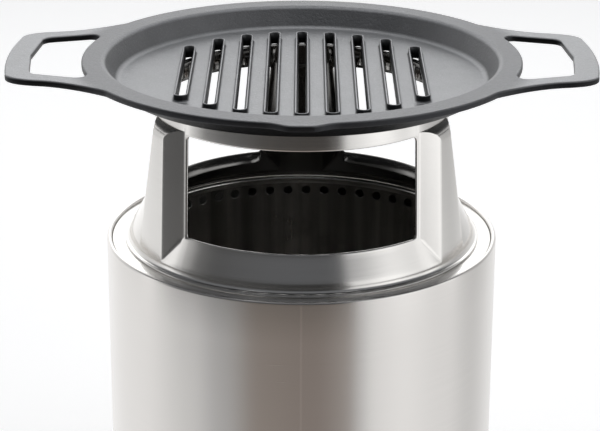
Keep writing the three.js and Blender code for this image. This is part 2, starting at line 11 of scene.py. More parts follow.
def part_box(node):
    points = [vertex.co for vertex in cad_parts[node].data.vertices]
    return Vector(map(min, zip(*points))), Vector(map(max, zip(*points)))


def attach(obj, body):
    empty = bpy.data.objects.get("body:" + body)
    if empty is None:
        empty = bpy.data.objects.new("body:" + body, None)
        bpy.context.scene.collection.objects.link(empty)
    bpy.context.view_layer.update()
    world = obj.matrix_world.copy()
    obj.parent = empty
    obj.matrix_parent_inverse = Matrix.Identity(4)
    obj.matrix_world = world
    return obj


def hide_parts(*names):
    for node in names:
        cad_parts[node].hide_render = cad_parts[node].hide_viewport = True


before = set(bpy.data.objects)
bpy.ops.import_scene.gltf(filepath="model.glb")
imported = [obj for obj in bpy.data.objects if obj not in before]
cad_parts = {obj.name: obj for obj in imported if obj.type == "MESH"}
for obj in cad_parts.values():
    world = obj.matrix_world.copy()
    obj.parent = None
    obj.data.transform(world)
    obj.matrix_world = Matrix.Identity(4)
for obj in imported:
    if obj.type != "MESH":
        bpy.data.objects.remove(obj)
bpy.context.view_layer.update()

bl_info = {
    "name": "Camping stove",
    "version": (1, 0, 0),
    "blender": (4, 5, 0),
    "location": "3D View > Sidebar > Stove",
    "description": "Builds the fine steel and cast-iron surfaces of a camping stove around its frame",
    "category": "Add Mesh",
}

MM = 0.001
BODY_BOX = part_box("outer_wall")
CHAMBER_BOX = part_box("inner_wall")
RING_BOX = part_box("flame_ring")
HUB_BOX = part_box("hub_shell")
GRILL_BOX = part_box("grill_top")
WALL_GAP = 16.6 * MM    # air space between the body's two walls
HUB_TAPER = 0.1         # inward lean of the hub, per metre of height
LEG_TAPER = 0.112       # narrowing of half a leg, per metre of height
LUG_ANGLE = 34.5        # degrees from the line through the grips to each locating lug


# ---- Sizes and colours that a user would change ----
def size(name, description, millimetres):
    return FloatProperty(name=name, description=description, default=millimetres * MM, unit="LENGTH",
                         precision=5)


def tone(name, description, colour):
    return FloatVectorProperty(name=name, description=description, default=colour, subtype="COLOR",
                               min=0.0, max=1.0)


class StoveBodySizes(bpy.types.PropertyGroup):
    sheet: size("Sheet", "Thickness of the body's two walls", 1.2)
    bead: size("Top bead", "Radius of the rolled top edge", 2.25)
    recess: size("Ring recess", "Depth of the shelf that carries the flame ring", 5.0)
    shelf: size("Shelf", "Width of that shelf", 11.0)
    hem: size("Foot hem", "Width of the hem that the body stands on", 14.0)
    intake_hole: size("Intake hole", "Diameter of the air intake holes", 12.0)
    intake_height: size("Intake height", "Height of the intake holes", 28.0)
    jet_hole: size("Jet hole", "Diameter of the hot-air holes in the chamber", 9.4)
    jet_drop: size("Jet drop", "How far the hot-air holes lie below the body's top", 19.0)
    draft_hole: size("Draft hole", "Diameter of the holes under the grate", 12.0)
    draft_height: size("Draft height", "Height of the holes under the grate", 48.0)
    jet_count: IntProperty(name="Jet holes", description="Number of hot-air holes", default=56)
    low_count: IntProperty(name="Low holes", description="Number of intake and draft holes", default=24)
    seam: size("Weld seam", "Width of the upright weld seam", 1.6)


class StoveHubSizes(bpy.types.PropertyGroup):
    sheet: size("Sheet", "Thickness of the hub's shell", 1.5)
    foot: size("Foot", "Width of the flange at the foot", 5.7)
    foot_bend: size("Foot bend", "Radius where the foot turns up", 5.0)
    leg: size("Leg", "Half width of a leg's outer face at the foot", 24.6)
    leg_top: size("Leg top", "Height where the legs have curved in to the crown", 133.0)
    leg_top_bend: size("Leg top bend", "Radius at the top of the legs", 11.0)
    crown_bend: size("Crown bend", "Radius at the top of the crown", 3.0)
    top: size("Crown top", "Width of the crown's flat top", 6.0)
    sill: size("Sill", "Height where the slope of each sill starts", 9.0)
    lintel: size("Lintel", "Height of each window's upper edge", 130.0)
    bevel_rise: size("Sill slope", "Height of the slope at the sill", 25.0)
    bevel_side: size("Leg slope", "Width of the slope along each leg", 20.0)
    bevel_depth: size("Slope depth", "Radial depth of both slopes", 10.6)
    corner: size("Corner", "Corner radius of the windows", 4.0)
    hem: size("Hem", "Width of the strip between the slope and the window", 4.5)
    sill_in: size("Sill flange", "How far the sill's flange reaches inwards", 13.5)
    sill_down: size("Sill flange drop", "How far the sill's flange slopes down", 7.2)
    soft: FloatProperty(name="Fold", description="Share of a slope that is rounded at its folds",
                        default=0.08)


class StoveGrillSizes(bpy.types.PropertyGroup):
    rim: size("Rim", "Width of the flat rim", 27.5)
    wall: size("Wall", "Thickness of the casting's floor", 5.0)
    lip: size("Basin lip", "Radius where the rim turns down into the basin", 6.5)
    fillet: size("Basin fillet", "Radius between the basin's wall and its floor", 7.0)
    outer_fillet: size("Outer fillet", "Radius under the outer corner of the basin", 16.0)
    slope: size("Basin slope", "How far the basin's wall leans in", 6.0)
    slot: size("Slot", "Width of each slot between its collar's crests", 9.6)
    throat: size("Slot throat", "Width of each slot below its collar", 6.8)
    pitch: size("Slot pitch", "Distance between slots", 28.0)
    margin: size("Slot margin", "From the slots' ends to the edge of the flat floor", 31.5)
    collar: size("Collar wall", "Thickness of the raised collar round each slot", 1.8)
    collar_rise: size("Collar height", "Height of each collar above the floor", 5.5)
    collar_end: size("Collar end", "How much higher each collar is at its ends", 1.6)
    grip_thick: size("Grip thickness", "Thickness of the rim and the grips", 6.3)
    grip_half: size("Grip half width", "Half the width of each grip", 86.0)
    grip_flare: size("Grip flare", "How much each flank spreads where it meets the rim", 33.0)
    grip_bar: size("Grip bar", "Width of the bar across the end of a grip", 22.0)
    grip_strap: size("Grip strap", "Width of the straps that join it to the rim", 21.0)
    grip_corner: size("Grip corner", "Corner radius of the grips", 24.0)
    grip_inner: size("Finger hole corner", "Corner radius of the finger hole next to the rim", 9.0)
    grip_spread: size("Finger hole spread", "How much wider the finger hole is next to the rim", 10.0)
    grip_land: size("Finger hole land", "How far the finger hole cuts into the rim", 3.5)
    grip_bow: size("Grip bow", "How far the end of a grip bows out", 5.0)
    tab: size("Front tab", "Half width of the small front tab", 17.0)
    tab_reach: size("Tab reach", "How far the tab stands out from the rim", 8.0)
    edge: size("Edge", "Radius on the casting's edges", 1.8)
    lug_circle: size("Lug circle", "Radius of the circle that the locating lugs stand on", 145.6)


class StoveColours(bpy.types.PropertyGroup):
    wall: tone("Outer wall", "Brushed steel of the outer wall", (0.74, 0.72, 0.70))
    hub: tone("Hub", "Satin steel of the hub", (0.76, 0.745, 0.725))
    ring: tone("Flame ring", "Polished steel of the flame ring", (0.80, 0.79, 0.77))
    chamber: tone("Fire chamber", "Dark rolled steel inside", (0.74, 0.72, 0.69))
    plate: tone("Grate and pan", "Plain rolled plate", (0.50, 0.49, 0.47))
    iron: tone("Cast iron", "Seasoned iron of the grill top", (0.33, 0.335, 0.345))


# ---- Shader nodes ----
class Term:
    """A socket in an expression: each operation on it adds the Math node that works it out."""

    def __init__(self, tree, socket):
        self.tree = tree
        self.socket = socket

    def math(self, operation, *values):
        node = self.tree.nodes.new("ShaderNodeMath")
        node.operation = operation
        for place, value in zip(node.inputs, values):
            feed(self.tree, place, value)
        return Term(self.tree, node.outputs[0])

    def __add__(self, other):
        return self.math("ADD", self, other)

    def __radd__(self, other):
        return self.math("ADD", other, self)

    def __sub__(self, other):
        return self.math("SUBTRACT", self, other)

    def __rsub__(self, other):
        return self.math("SUBTRACT", other, self)

    def __mul__(self, other):
        return self.math("MULTIPLY", self, other)

    def __rmul__(self, other):
        return self.math("MULTIPLY", other, self)

    def __truediv__(self, other):
        return self.math("DIVIDE", self, other)

    def __pow__(self, other):
        return self.math("POWER", self, other)

    def __abs__(self):
        return self.math("ABSOLUTE", self)

    def below(self, limit):
        return self.math("LESS_THAN", self, limit)

    def band(self, low, high):
        """0 under `low`, 1 over `high`, and smooth between them."""
        node = self.tree.nodes.new("ShaderNodeMapRange")
        node.interpolation_type = "SMOOTHSTEP"
        node.inputs["From Min"].default_value = low
        node.inputs["From Max"].default_value = high
        self.tree.links.new(self.socket, node.inputs["Value"])
        return Term(self.tree, node.outputs["Result"])


def feed(tree, socket, value):
    """Links a term to a node's socket, or gives the socket a plain value."""
    if isinstance(value, Term):
        tree.links.new(value.socket, socket)
    else:
        socket.default_value = value


class Shading:
    """Builds one node tree, for a material or for the world."""

    def __init__(self, owner):
        owner.use_nodes = True
        self.tree = owner.node_tree
        self.tree.nodes.clear()

    def node(self, kind, settings=None, inputs=None, output=0):
        """Adds a node: its settings first, then the values or links of its sockets."""
        node = self.tree.nodes.new(kind)
        for name, value in (settings or {}).items():
            if name == "stops":
                self.set_stops(node.color_ramp, value)
            else:
                setattr(node, name, value)
        for name, value in (inputs or {}).items():
            feed(self.tree, node.inputs[name], value)
        return Term(self.tree, node.outputs[output]) if len(node.outputs) else node

    @staticmethod
    def set_stops(ramp, stops):
        ramp.interpolation = "EASE"
        while len(ramp.elements) < len(stops):
            ramp.elements.new(1.0)
        for element, (place, colour) in zip(ramp.elements, stops):
            element.position = place
            element.color = (*colour, 1.0) if isinstance(colour, tuple) else (colour, colour, colour, 1.0)

    def parts(self, vector):
        node = self.tree.nodes.new("ShaderNodeSeparateXYZ")
        self.tree.links.new(vector.socket, node.inputs[0])
        return [Term(self.tree, socket) for socket in node.outputs]

    def vector(self, x, y, z):
        return self.node("ShaderNodeCombineXYZ", inputs={"X": x, "Y": y, "Z": z})

    def noise(self, vector, scale, detail=2.0, roughness=0.5):
        return self.node("ShaderNodeTexNoise", inputs={
            "Vector": vector, "Scale": scale, "Detail": detail, "Roughness": roughness})

    def position(self):
        """Place on the piece, in metres."""
        return self.node("ShaderNodeTexCoord", output=3)

    def blend(self, factor, first, second):
        """Mixes two colours, or two colour sockets."""
        node = self.tree.nodes.new("ShaderNodeMix")
        node.data_type = "RGBA"
        node.clamp_factor = True
        for place, value in ((0, factor), (6, first), (7, second)):
            feed(self.tree, node.inputs[place], (*value, 1.0) if isinstance(value, tuple) else value)
        return Term(self.tree, node.outputs[2])

    def bump(self, height, strength, distance):
        return self.node("ShaderNodeBump", inputs={
            "Height": height, "Strength": strength, "Distance": distance})

    def surface(self, **sockets):
        inputs = {key.replace("_", " "): value for key, value in sockets.items()}
        shader = self.node("ShaderNodeBsdfPrincipled", inputs=inputs)
        self.node("ShaderNodeOutputMaterial", inputs={"Surface": shader})


def shade(colour, factor):
    """A colour made lighter or darker."""
    return tuple(min(1.0, channel * factor) for channel in colour)


def around(shading, position):
    """Angle round the upright axis, height and distance from the axis."""
    x, y, z = shading.parts(position)
    angle = x.math("ARCTAN2", y, x)
    distance = (x * x + y * y) ** 0.5
    return angle, z, distance


def start_material(name):
    """A new material, its empty shading and the place on the piece."""
    material = bpy.data.materials.new(name)
    shading = Shading(material)
    return material, shading, shading.position()


def brushed_wall(name, colour, roughness, seam_width):
    """Steel brushed around, with fine streaks of uneven length and one upright weld seam in front."""
    material, s, position = start_material(name)
    angle, height, distance = around(s, position)
    arc_length = angle * distance
    streaks = s.noise(s.vector(arc_length * 5.0, height * 900.0, 0.0), 1.0, 4.0, 0.6)
    smudges = s.noise(s.vector(arc_length * 9.0, height * 5.0, 2.0), 1.0, 3.0, 0.5)
    x, y = s.parts(position)[:2]
    seam = (1.0 - abs(x).band(seam_width * 0.2, seam_width)) * y.below(0.0)
    tint = s.blend(streaks, shade(colour, 0.93), shade(colour, 1.04))
    tint = s.blend(smudges.band(0.35, 0.75) * 0.25, tint, shade(colour, 0.94))
    tint = s.blend(seam * 0.35, tint, shade(colour, 1.25))
    grain = s.bump(streaks + seam * 0.5, 0.06, 0.0004)
    s.surface(Base_Color=tint, Metallic=1.0, Roughness=roughness + streaks * 0.07 + smudges * 0.04,
              Anisotropic=0.75, Anisotropic_Rotation=0.25, Normal=grain)
    return material


def satin_steel(name, colour, roughness, anisotropic=0.6, axis_side_shade=0.0):
    """Pressed steel, lightly brushed around after forming. The sides that face the axis get painted shade.
    """
    material, s, position = start_material(name)
    angle, height, distance = around(s, position)
    streaks = s.noise(s.vector(angle * distance * 8.0, height * 700.0, distance * 500.0), 1.0, 4.0, 0.6)
    clouds = s.noise(position, 16.0, 3.0, 0.55)
    tint = s.blend(streaks, shade(colour, 0.94), shade(colour, 1.04))
    tint = s.blend(clouds.band(0.4, 0.75) * 0.3, tint, shade(colour, 0.93))
    # painted shade: faces that turn towards the axis are blended towards a dark copy of the colour
    if axis_side_shade:
        x, y = s.parts(position)[:2]
        across, along = s.parts(s.node("ShaderNodeTexCoord", output=1))[:2]
        inwards = (across * x + along * y) / distance * -1.0
        tint = s.blend(inwards.band(0.1, 0.45) * axis_side_shade, tint, shade(colour, 0.16))
    grain = s.bump(streaks, 0.05, 0.0003)
    s.surface(Base_Color=tint, Metallic=1.0, Roughness=roughness + streaks * 0.06 + clouds * 0.05,
              Anisotropic=anisotropic, Anisotropic_Rotation=0.25, Normal=grain)
    return material


def chamber_steel(name, colour):
    """Rolled steel of the fire chamber, with upright rolling marks and tint from the fire."""
    material, s, position = start_material(name)
    angle, height, distance = around(s, position)
    marks = s.noise(s.vector(angle * distance * 60.0, height * 2.0, 0.0), 1.0, 3.0, 0.55)
    soot = s.noise(position, 22.0, 5.0, 0.6)
    streaks = s.noise(s.vector(angle * distance * 14.0, height * 0.8, 4.0), 1.0, 3.0, 0.6)
    tint = s.blend(marks.band(0.3, 0.7), shade(colour, 0.75), shade(colour, 1.25))
    tint = s.blend(streaks.band(0.42, 0.62) * 0.6, tint, shade(colour, 0.3))
    tint = s.blend(soot.band(0.45, 0.75) * 0.35, tint, (0.07, 0.06, 0.05))
    s.surface(Base_Color=tint, Metallic=1.0, Roughness=0.13 + marks * 0.12 + soot * 0.12,
              Normal=s.bump(marks, 0.08, 0.0006))
    return material


def rolled_plate(name, colour):
    """Plain rolled plate, one grain direction, with light soot and scuffs."""
    material, s, position = start_material(name)
    x, y, z = s.parts(position)
    grain = s.noise(s.vector(x * 30.0, y * 900.0, z * 30.0), 1.0, 4.0, 0.6)
    soot = s.noise(position, 30.0, 5.0, 0.62)
    tint = s.blend(grain, shade(colour, 0.88), shade(colour, 1.08))
    tint = s.blend(soot.band(0.5, 0.8) * 0.5, tint, (0.10, 0.09, 0.085))
    s.surface(Base_Color=tint, Metallic=1.0, Roughness=0.28 + grain * 0.08 + soot * 0.15,
              Normal=s.bump(grain + soot * 0.5, 0.08, 0.0004))
    return material


def cast_iron(name, colour, rim_inner, rim_outer):
    """Seasoned cast iron: fine sand-cast grain with painted glints on its specks, soft mottling, painted
    shade on the flanks and underside, and a rim darkened with painted shade.
    """
    material, s, position = start_material(name)
    sand = s.noise(position, 900.0, 3.0, 0.65)
    pits = s.noise(position, 330.0, 2.0, 0.5)
    mottle = s.noise(position, 35.0, 4.0, 0.6)
    speck_glint = sand.band(0.52, 0.75)
    tint = s.blend(mottle, shade(colour, 0.82), shade(colour, 1.22))
    # the specks are the real sand grain; lightening them in the colour paints their glints
    tint = s.blend(speck_glint * 0.5, tint, shade(colour, 1.8))
    # painted shade: every face that does not point straight up is darkened, to near black on the flanks and
    # the underside
    up = s.parts(s.node("ShaderNodeTexCoord", output=1))[2]
    tint = s.blend(1.0 - up.band(0.05, 0.99), tint, (0.006, 0.007, 0.009))
    relief = sand * 0.6 + pits.band(0.2, 0.6) * 0.4
    # painted shade: the rim is darkened in a band that fades out into the grips
    distance = around(s, position)[2]
    past_rim = distance.band(rim_outer - 1.5 * MM, rim_outer + 18.5 * MM)
    rim = distance.band(rim_inner, rim_inner + 7 * MM) * (1.0 - past_rim)
    tint = s.blend(rim * 0.55, tint, (0.05, 0.052, 0.058))
    s.surface(Base_Color=tint, Metallic=0.6, Roughness=0.40 + mottle * 0.1 - speck_glint * 0.08,
              Normal=s.bump(relief, 0.6, 0.0006))
    return material


# ---- Mesh helpers ----
def arc(x, y, radius, start, stop, steps):
    """Points along an arc, angles in degrees."""
    turns = [math.radians(start + (stop - start) * i / steps) for i in range(steps + 1)]
    return [(x + radius * math.cos(t), y + radius * math.sin(t)) for t in turns]


def ease(edge, full, value):
    t = max(0.0, min(1.0, (value - edge) / (full - edge)))
    return t * t * (3.0 - 2.0 * t)


class Shell:
    """Gathers vertices and faces, ring by ring."""

    def __init__(self):
        self.points = []
        self.faces = []

    def ring(self, points):
        first = len(self.points)
        self.points.extend(points)
        return list(range(first, len(self.points)))

    def bridge(self, near, far, closed=True):
        count = len(near) if closed else len(near) - 1
        for i in range(count):
            j = (i + 1) % len(near)
            self.faces.append((near[i], near[j], far[j], far[i]))

    def bridge_all(self, rings, closed=True):
        for near, far in zip(rings, rings[1:]):
            self.bridge(near, far, closed)

    def fill(self, outer, holes=()):
        """Fills the flat area inside one ring and outside the others."""
        loops = [outer, *holes]
        used = [index for loop in loops for index in loop]
        flat = [Vector(self.points[index][:2]) for index in used]
        edges = []
        start = 0
        for loop in loops:
            edges += [(start + i, start + (i + 1) % len(loop)) for i in range(len(loop))]
            start += len(loop)
        points, _, triangles, origins, _, _ = delaunay_2d_cdt(flat, edges, [], 1, 1e-7)
        outlines = [[Vector(self.points[index][:2]) for index in loop] for loop in holes]
        for triangle in triangles:
            middle = sum((points[i] for i in triangle), Vector((0.0, 0.0))) / 3.0
            if not any(inside(middle, outline) for outline in outlines):
                self.faces.append(tuple(used[origins[i][0]] for i in triangle))


def inside(point, outline):
    """True if a flat point is inside a flat outline."""
    hit = False
    for a, b in zip(outline, outline[1:] + outline[:1]):
        if (a.y > point.y) != (b.y > point.y):
            if point.x < a.x + (point.y - a.y) * (b.x - a.x) / (b.y - a.y):
                hit = not hit
    return hit


def make_object(name, shell, material, thickness=0.0, sharp=35.0, outward=True):
    """Turns a shell into an object with clean faces, smooth shading and, for sheet, a thickness."""
    mesh = bpy.data.meshes.new(name)
    mesh.from_pydata([tuple(p) for p in shell.points], [], shell.faces)
    work = bmesh.new()
    work.from_mesh(mesh)
    bmesh.ops.remove_doubles(work, verts=work.verts, dist=1e-6)
    bmesh.ops.dissolve_degenerate(work, edges=work.edges, dist=1e-7)
    loose = [v for v in work.verts if not v.link_faces]
    bmesh.ops.delete(work, geom=loose, context="VERTS")
    bmesh.ops.recalc_face_normals(work, faces=work.faces)
    if outward:
        facing = sum(f.normal.xy.dot(f.calc_center_median().xy) * f.calc_area() for f in work.faces)
        if facing < 0.0:
            bmesh.ops.reverse_faces(work, faces=work.faces)
    work.to_mesh(mesh)
    work.free()
    mesh.shade_smooth()
    mesh.set_sharp_from_angle(angle=math.radians(sharp))
    thing = bpy.data.objects.new(name, mesh)
    bpy.context.scene.collection.objects.link(thing)
    mesh.materials.append(material)
    if thickness:
        solid = thing.modifiers.new("sheet", "SOLIDIFY")
        solid.thickness = thickness
        solid.offset = -1.0
        solid.use_even_offset = False
        solid.use_quality_normals = True
    return thing


def place(thing, body, slot, *nodes):
    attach(thing, body)
    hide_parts(*nodes)


def lathe(shell, outline, steps, closed=False):
    """Turns an outline of (radius, height) about the axis. Points on the axis become one vertex."""
    rings = []
    for radius, height in outline:
        turns = [2.0 * math.pi * i / steps for i in range(steps)]
        rings.append(shell.ring([(radius * math.cos(t), radius * math.sin(t), height) for t in turns]))
    shell.bridge_all(rings)
    if closed:
        shell.bridge(rings[-1], rings[0])
    return rings


def pierced_band(shell, radius, middle, half, hole, count, across, up, phase):
    """A band of wall with a row of round holes. Returns its lower and upper rings."""
    step = 2.0 * math.pi / count
    edge_count = 2 * (across + up)
    lower, upper = [], []
    for number in range(count):
        centre = step * (number + phase)
        low = [(-1.0 + 2.0 * i / across, -1.0) for i in range(across)]
        right = [(1.0, -1.0 + 2.0 * i / up) for i in range(up)]
        square = low + right + [(-x, -y) for x, y in low] + [(-x, -y) for x, y in right]
        start = math.atan2(-half, -radius * step / 2.0)
        rows = []
        for share in (0.0, 0.12, 0.45, 1.0):
            row = []
            for i, (x, y) in enumerate(square):
                turn = start + 2.0 * math.pi * i / edge_count
                round_x = hole * math.cos(turn)
                round_y = hole * math.sin(turn)
                flat_x = round_x + (x * radius * step / 2.0 - round_x) * share
                flat_y = round_y + (y * half - round_y) * share
                angle = centre + flat_x / radius
                row.append((radius * math.cos(angle), radius * math.sin(angle), middle + flat_y))
            rows.append(shell.ring(row))
        shell.bridge_all(rows)
        edge = rows[-1]
        lower += edge[:across]
        upper += edge[across + up:2 * across + up][::-1]
    return lower, upper


def holed_wall(shell, radius, bands, low, high, steps):
    """An upright wall between two heights with bands of holes. Rings join by merged vertices."""
    height = low
    for middle, half, hole, count, up, phase in bands:
        wall_rows(shell, radius, height, middle - half, steps)
        pierced_band(shell, radius, middle, half, hole, count, steps // count, up, phase)
        height = middle + half
    wall_rows(shell, radius, height, high, steps)


def wall_rows(shell, radius, low, high, steps):
    rows = max(1, round((high - low) / (40 * MM)))
    heights = [low + (high - low) * i / rows for i in range(rows + 1)]
    lathe(shell, [(radius, height) for height in heights], steps)


# ---- Pieces: the body ----
class STOVE_OT_outer_wall(bpy.types.Operator):
    """Outer wall with its rolled top bead, the flame ring's shelf, intake holes and foot hem"""
    bl_idname = "stove.outer_wall"
    bl_label = "Outer wall"

    def execute(self, context):
        sizes = context.scene.stove_body
        radius = BODY_BOX[1][0]
        top = BODY_BOX[1][2]
        steps = sizes.low_count * 10
        bead = sizes.bead
        recess = radius - 2.0 * bead
        skin = Shell()
        foot_bend = 2.0 * MM
        hem = arc(radius - foot_bend, foot_bend, foot_bend, -90, 0, 4)
        lathe(skin, [(radius - sizes.hem, 0.0), *hem], steps)
        bands = [(sizes.intake_height, 12 * MM, sizes.intake_hole / 2.0, sizes.low_count, 6, 0.5)]
        holed_wall(skin, radius, bands, foot_bend, top - bead, steps)
        shelf = top - sizes.recess
        bend = 1.3 * MM
        lathe(skin, [
            *arc(radius - bead, top - bead, bead, 0, 180, 12),
            (recess, shelf + bend),
            *arc(recess - bend, shelf + bend, bend, 0, -90, 4),
            (recess - sizes.shelf, shelf),
        ], steps)
        material = brushed_wall("brushed_wall", tuple(context.scene.stove_colours.wall), 0.20, sizes.seam)
        wall = make_object("outer_wall_skin", skin, material, sizes.sheet)
        place(wall, "root", "brushed_wall", "outer_wall")
        return {"FINISHED"}


class STOVE_OT_inner_wall(bpy.types.Operator):
    """Fire chamber wall with its ring of hot-air holes and its draft holes"""
    bl_idname = "stove.inner_wall"
    bl_label = "Inner wall"

    def execute(self, context):
        sizes = context.scene.stove_body
        radius = BODY_BOX[1][0] - 2.0 * sizes.sheet - WALL_GAP
        top = CHAMBER_BOX[1][2]
        low = CHAMBER_BOX[0][2]
        bend = 2.4 * MM
        flange = 10.0 * MM
        steps = 12 * sizes.jet_count
        outer = radius + sizes.sheet
        jets = BODY_BOX[1][2] - sizes.jet_drop
        skin = Shell()
        foot_bend = 1.5 * MM
        foot = arc(outer + foot_bend, low + foot_bend, foot_bend, -90, -180, 4)
        lathe(skin, [(outer + flange, low), (outer + foot_bend, low), *foot], steps)
        bands = [
            (sizes.draft_height, 10 * MM, sizes.draft_hole / 2.0, sizes.low_count, 6, 0.5),
            (jets, 8 * MM, sizes.jet_hole / 2.0, sizes.jet_count, 4, 0.75),
        ]
        holed_wall(skin, outer, bands, low + foot_bend, top - bend, steps)
        lathe(skin, [*arc(outer + bend - sizes.sheet, top - bend, bend - sizes.sheet, 180, 90, 5),
                     (outer + flange, top - sizes.sheet)], steps)
        material = chamber_steel("chamber_steel", tuple(context.scene.stove_colours.chamber))
        wall = make_object("inner_wall_skin", skin, material, sizes.sheet)
        wall.modifiers["sheet"].offset = 1.0 if wall_faces_in(wall) else -1.0
        place(wall, "root", "chamber_steel", "inner_wall")
        return {"FINISHED"}


def wall_faces_in(thing):
    """True if a wall's faces point to the axis."""
    face = thing.data.polygons[len(thing.data.polygons) // 2]
    return face.normal.xy.dot(face.center.xy) < 0.0


class STOVE_OT_flame_ring(bpy.types.Operator):
    """Flame ring with its turned-down lip"""
    bl_idname = "stove.flame_ring"
    bl_label = "Flame ring"

    def execute(self, context):
        outer = RING_BOX[1][0]
        top = RING_BOX[1][2]
        low = RING_BOX[0][2]
        sheet = 2.0 * MM
        width = 20.0 * MM
        inner = outer - width
        bend = 2.0 * MM
        edge = 0.5 * MM
        skin = Shell()
        lathe(skin, [
            (inner, low + edge), *arc(inner + bend, top - bend, bend, 180, 90, 8),
            (outer - 8 * MM, top), *arc(outer - edge, top - edge, edge, 90, 0, 3),
            *arc(outer - edge, top - sheet + edge, edge, 0, -90, 3),
            (inner + sheet + edge, top - sheet), (inner + sheet, top - sheet - edge),
            (inner + sheet, low + edge),
            *arc(inner + sheet / 2.0, low + edge, sheet / 2.0, 0, -180, 5)[1:-1],
        ], 240, closed=True)
        material = satin_steel("ring_steel", tuple(context.scene.stove_colours.ring), 0.16, 0.5)
        ring = make_object("flame_ring_skin", skin, material, outward=False)
        place(ring, "flame_ring", "ring_steel", "flame_ring")
        return {"FINISHED"}


# ---- Pieces: the hub ----
FOLDS = (-1.0, -0.5, 0.0, 0.5, 1.0)


def slope_sink(share, soft):
    """Sink across a slope, from its start at 0 to its end at 1, with both folds rounded."""
    if share <= -soft:
        return 0.0
    if share < soft:
        return (share + soft) ** 2 / (4.0 * soft)
    if share <= 1.0 - soft:
        return share
    if share < 1.0 + soft:
        return 1.0 - (1.0 + soft - share) ** 2 / (4.0 * soft)
    return 1.0


class HubShape:
    """The hub's skin as a grid in thirds: a column keeps its distance from a leg's edge, a row its height.

    The sink of a place is 0 on the legs' outer face and 1 on the windows' inner face.
    """

    def __init__(self, sizes):
        self.sizes = sizes
        self.height = HUB_BOX[1][2] - HUB_BOX[0][2]
        self.base = HUB_BOX[1][1] - sizes.foot
        self.lip = sizes.sill + sizes.bevel_rise
        self.hem_edge = sizes.bevel_side + sizes.hem
        corner = sizes.corner
        self.rounding = [corner * (1.0 - math.sin(math.radians(turn))) for turn in (0.0, 15.0, 30.0, 45.0)]
        soft = sizes.soft
        lintel_sink = self.leg_top_sink(sizes.lintel)
        self.places = sorted({fold * soft for fold in FOLDS} | {1.0 + fold * soft for fold in FOLDS}
                             | {0.2, lintel_sink, 0.45, 0.6, 0.75})
        self.columns = self.make_columns()
        self.foot, self.folded, self.crown = self.make_rows()

    def cone(self, height):
        return self.base - HUB_TAPER * height

    def leg_top_sink(self, height):
        rise = max(0.0, min(1.0, (height - self.sizes.leg_top) / self.sizes.leg_top_bend + 1.0))
        return 1.0 - math.sqrt(1.0 - rise * rise)

    def angle(self, column, height, shift=0.0):
        """Angle from the middle of the window, for one column at one height."""
        share, beyond, middle = column
        width = share * (self.sizes.leg - LEG_TAPER * height) + beyond + shift
        return middle * (math.pi / 3.0 - math.asin(width / self.cone(height)))

    def make_columns(self):
        """Columns from the middle of a leg to the middle of a window.

        Each is its share of the leg's width, its distance beyond that and its share of the way out from
        the middle of the window.
        """
        columns = [(share, 0.0, 1.0) for share in (0.0, 0.25, 0.5, 0.75)]
        columns += [(1.0, place * self.sizes.bevel_side, 1.0) for place in self.places]
        self.edge_column = len(columns)
        reaches = (0.0, *sorted(self.rounding[:3]))
        columns += [(1.0, self.hem_edge + reach, 1.0) for reach in reaches]
        last = columns[-1]
        across = 16
        columns += [(last[0], last[1], 1.0 - i / across) for i in range(1, across + 1)]
        return columns

    def make_rows(self):
        s = self.sizes
        foot_line = s.sheet + s.foot_bend
        crown_radius = self.cone(self.height) - s.bevel_depth
        foot = [(HUB_BOX[1][1] - 0.4 * MM, s.sheet)]
        foot += arc(self.cone(foot_line) + s.foot_bend, foot_line, s.foot_bend, 270, 180, 8)
        sill = [s.sill + place * s.bevel_rise for place in self.places if place < 1.0]
        lift = sorted(self.rounding[:-1])
        window = [self.lip] + [self.lip + reach for reach in lift]
        straight = s.lintel - self.lip - 2.0 * s.corner
        window += [self.lip + s.corner + straight * i / 12.0 for i in range(1, 12)]
        window += [s.lintel - reach for reach in self.rounding[:-1]]
        sinks = [slope_sink(place, s.soft) for place in self.places]
        top = [s.leg_top - s.leg_top_bend + s.leg_top_bend * math.sqrt(1.0 - (1.0 - sink) ** 2)
               for sink in sinks]
        crown = arc(crown_radius - s.crown_bend, self.height - s.crown_bend, s.crown_bend, 0, 90, 6)
        crown.append((crown_radius - s.crown_bend - s.top, self.height))
        folded = sorted(sill + window + top)
        folded = [h for i, h in enumerate(folded) if i == 0 or h - folded[i - 1] > 1e-6]
        return foot, folded, crown

    def plain_place(self, index, radius, height, side):
        return side * self.angle(self.columns[index], height), radius, height

    def folded_place(self, index, height, side):
        """Angle, radius and height of a place on the legs and windows, with their corners rounded."""
        s = self.sizes
        at_lip = abs(height - self.lip) < 1e-6
        at_lintel = abs(height - s.lintel) < 1e-6
        shift, z = 0.0, height
        cut = self.rounding[-1]
        if index == self.edge_column and (at_lip or at_lintel):
            shift = cut
            z += cut if at_lip else -cut
        elif index == self.edge_column:
            gap = min(height - self.lip, s.lintel - height)
            if 0.0 < gap < s.corner:
                shift = s.corner - math.sqrt(s.corner ** 2 - (s.corner - gap) ** 2)
        elif at_lip or at_lintel:
            gap = self.columns[index][1] - self.hem_edge
            if 0.0 < gap < s.corner - 1e-6:
                bend = s.corner - math.sqrt(s.corner ** 2 - (s.corner - gap) ** 2)
                z += bend if at_lip else -bend
        column = self.columns[index]
        sill = slope_sink((height - s.sill) / s.bevel_rise, s.soft)
        slope = column[1] / s.bevel_side if column[0] == 1.0 else -1.0
        sink = max(min(slope_sink(slope, s.soft), sill), self.leg_top_sink(height))
        return side * self.angle(column, z, shift), self.cone(z) - s.bevel_depth * sink, z


